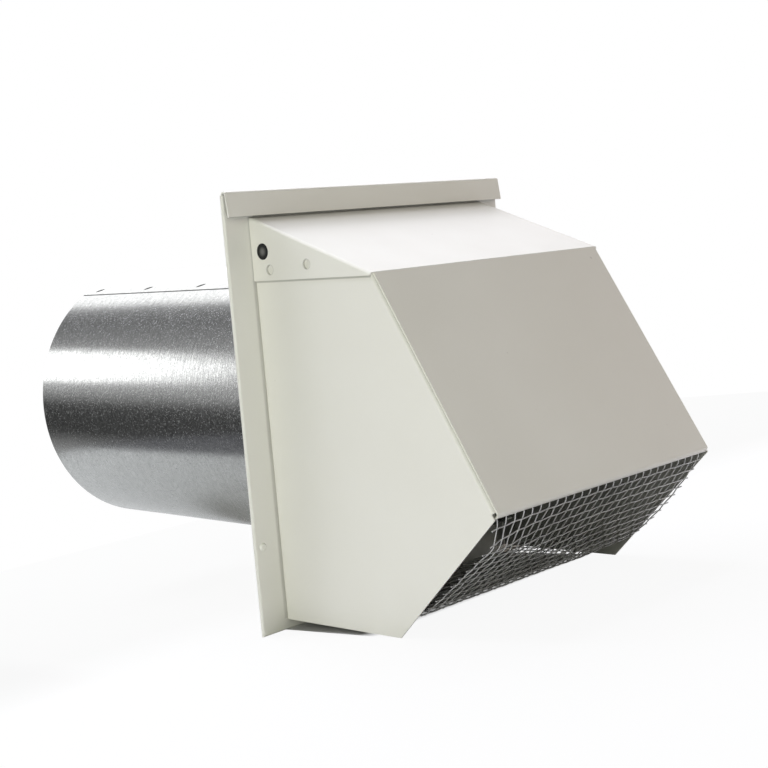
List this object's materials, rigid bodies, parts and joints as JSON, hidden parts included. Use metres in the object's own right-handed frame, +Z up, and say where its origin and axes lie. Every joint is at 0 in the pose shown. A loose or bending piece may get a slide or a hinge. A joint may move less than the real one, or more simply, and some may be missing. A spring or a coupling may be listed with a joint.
{
  "type": "dryer vent cap",
  "caption": "Exterior wall cap with a sloped hood, a hanging back-draft flap, a wire cloth screen and a tail pipe for the duct.",
  "frame": {"origin": "on the pipe's axis, in the plane of the wall that the plate's rim lies on", "axes": "+Y runs along the pipe into the wall, the hood looks towards -Y, +Z is up, +X is to the right seen from outside"},
  "size_m": [0.207, 0.3638, 0.2214],
  "materials": {
    "painted_sheet": "satin",
    "galvanised_pipe": "satin",
    "galvanised_flap": "satin",
    "galvanised_wire": "satin",
    "dark_nylon": "matt"
  },
  "bodies": {
    "root": {"wall_plate": "painted_sheet", "tail_pipe": "galvanised_pipe", "hood_side_left": "painted_sheet", "hood_side_right": "painted_sheet", "hood_cover": "painted_sheet", "wire_screen": "galvanised_wire", "pivot_bushing_left": "dark_nylon", "pivot_bushing_right": "dark_nylon"},
    "damper": {"damper_flap": "galvanised_flap", "damper_rod": "galvanised_wire"}
  },
  "joints": [
    {"name": "damper_swing", "type": "hinge", "parent": "root", "child": "damper", "pos_m": [0, -0.0105, 0.0858], "axis": [-1, 0, 0], "range_deg": [0, 46.7]}
  ]
}
